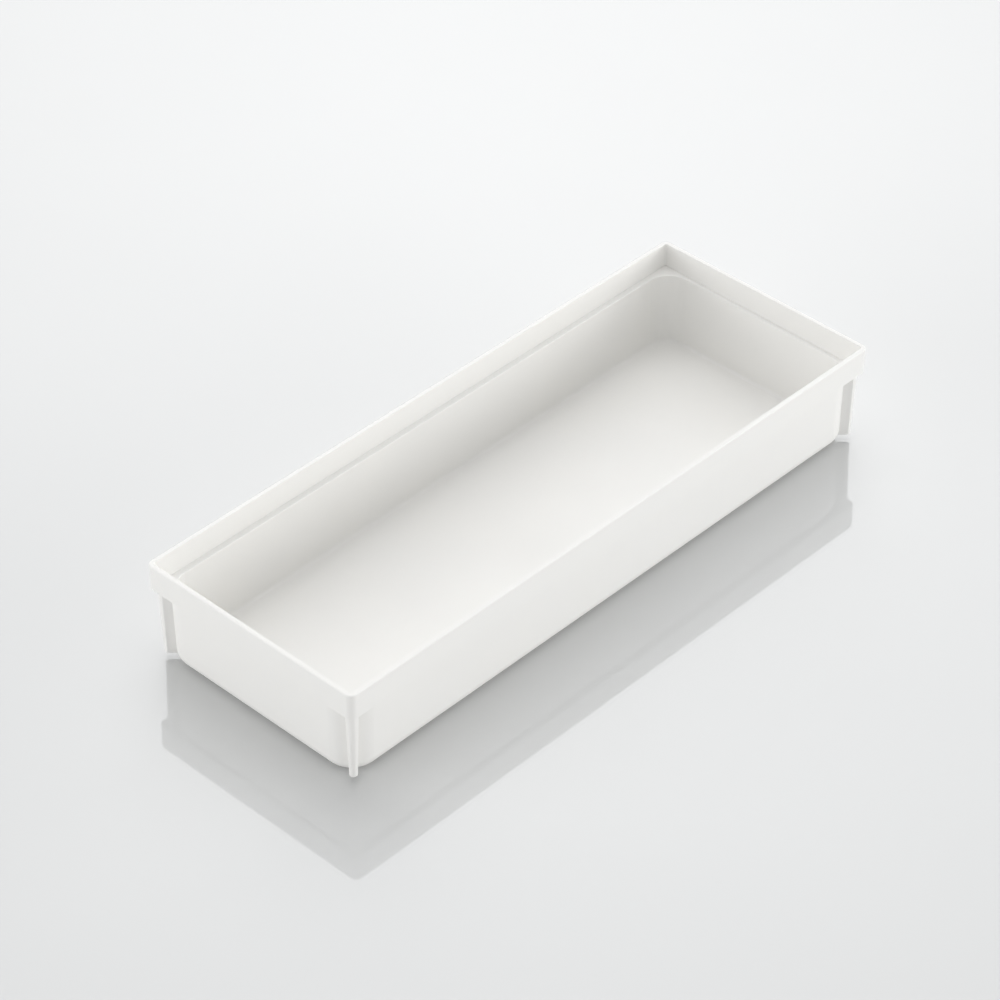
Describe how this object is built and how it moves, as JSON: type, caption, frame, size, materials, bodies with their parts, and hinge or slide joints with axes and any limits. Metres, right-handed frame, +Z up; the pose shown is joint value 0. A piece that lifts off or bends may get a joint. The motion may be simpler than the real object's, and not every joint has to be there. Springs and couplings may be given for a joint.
{
  "type": "cutlery drawer tray",
  "caption": "Long, shallow open drawer tray with a square-cornered rim, a rounded tub, an inner stacking ledge, corner legs and non-slip pads.",
  "frame": {"origin": "on the surface that the tray stands on, under the middle of the tray", "axes": "+X along the length, +Y across the width, +Z up out of the open top"},
  "size_m": [0.285, 0.1064, 0.045],
  "materials": {
    "tray_plastic": "white injection-moulded plastic with a fine satin surface",
    "pad_rubber": "milky non-slip elastomer, dull"
  },
  "bodies": {
    "root": {"tray_body": "tray_plastic", "pad_near_left": "pad_rubber", "pad_near_right": "pad_rubber", "pad_far_left": "pad_rubber", "pad_far_right": "pad_rubber"}
  },
  "joints": []
}
